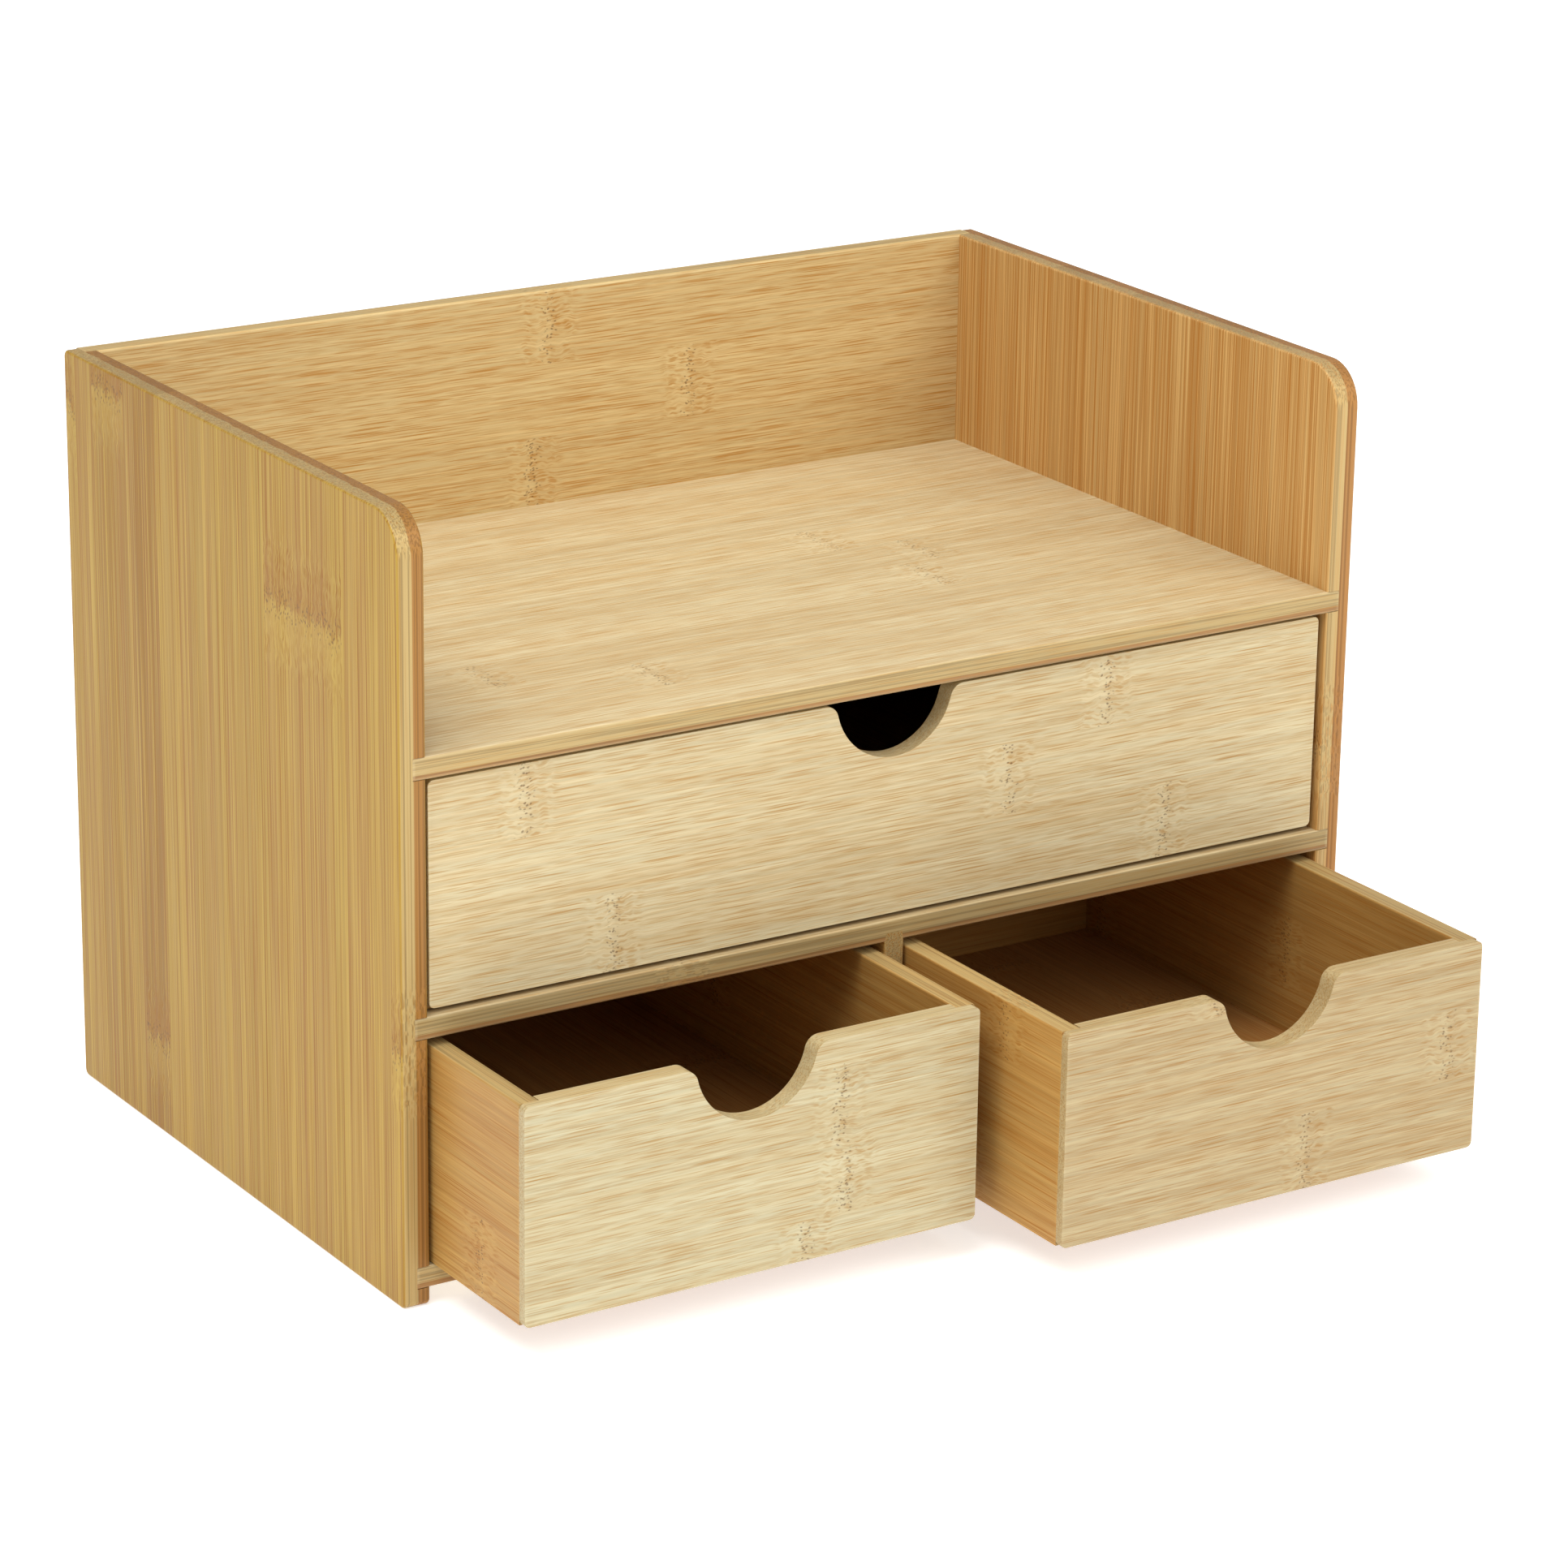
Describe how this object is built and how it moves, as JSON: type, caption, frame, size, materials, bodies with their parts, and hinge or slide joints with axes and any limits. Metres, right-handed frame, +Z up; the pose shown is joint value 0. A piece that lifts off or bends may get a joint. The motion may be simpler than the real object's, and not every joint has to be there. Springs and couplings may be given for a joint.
{
  "type": "desk organizer",
  "caption": "Bamboo desk organizer: an open-front paper tray on top, a full-width drawer below it and half-width drawers at the bottom, each with a finger notch.",
  "frame": {"origin": "on the surface that the organizer stands on, under the middle of its outline with the lower drawers partly open as at rest", "axes": "+X to the right as the drawers are faced, +Y to the back panel, +Z up; drawers pull out along -Y"},
  "size_m": [0.33, 0.293, 0.235],
  "materials": {
    "side_bamboo": "clear satin lacquer over vertical-grain bamboo strips",
    "shelf_bamboo": "clear satin lacquer over two-ply bamboo board, grain along X",
    "back_bamboo": "clear satin lacquer over bamboo board, grain along X",
    "front_bamboo": "clear satin lacquer over pale bamboo with node bands, grain along X",
    "drawer_box_bamboo": "clear satin lacquer over bamboo board, grain along the board",
    "drawer_floor_bamboo": "clear satin lacquer over thin bamboo board, grain along Y"
  },
  "bodies": {
    "cabinet": {"left_side_panel": "side_bamboo", "right_side_panel": "side_bamboo", "back_panel": "back_bamboo", "top_shelf": "shelf_bamboo", "middle_shelf": "shelf_bamboo", "base_panel": "shelf_bamboo", "drawer_divider": "side_bamboo"},
    "wide_drawer": {"wide_drawer_front": "front_bamboo", "wide_drawer_left_side": "drawer_box_bamboo", "wide_drawer_right_side": "drawer_box_bamboo", "wide_drawer_back": "drawer_box_bamboo", "wide_drawer_bottom": "drawer_floor_bamboo"},
    "left_drawer": {"left_drawer_front": "front_bamboo", "left_drawer_left_side": "drawer_box_bamboo", "left_drawer_right_side": "drawer_box_bamboo", "left_drawer_back": "drawer_box_bamboo", "left_drawer_bottom": "drawer_floor_bamboo"},
    "right_drawer": {"right_drawer_front": "front_bamboo", "right_drawer_left_side": "drawer_box_bamboo", "right_drawer_right_side": "drawer_box_bamboo", "right_drawer_back": "drawer_box_bamboo", "right_drawer_bottom": "drawer_floor_bamboo"}
  },
  "joints": [
    {"name": "wide_drawer_slide", "type": "slide", "parent": "cabinet", "child": "wide_drawer", "axis": [0, -1, 0], "range_m": [0, 0.15]},
    {"name": "left_drawer_slide", "type": "slide", "parent": "cabinet", "child": "left_drawer", "axis": [0, -1, 0], "range_m": [-0.054, 0.096]},
    {"name": "right_drawer_slide", "type": "slide", "parent": "cabinet", "child": "right_drawer", "axis": [0, -1, 0], "range_m": [-0.085, 0.065]}
  ]
}
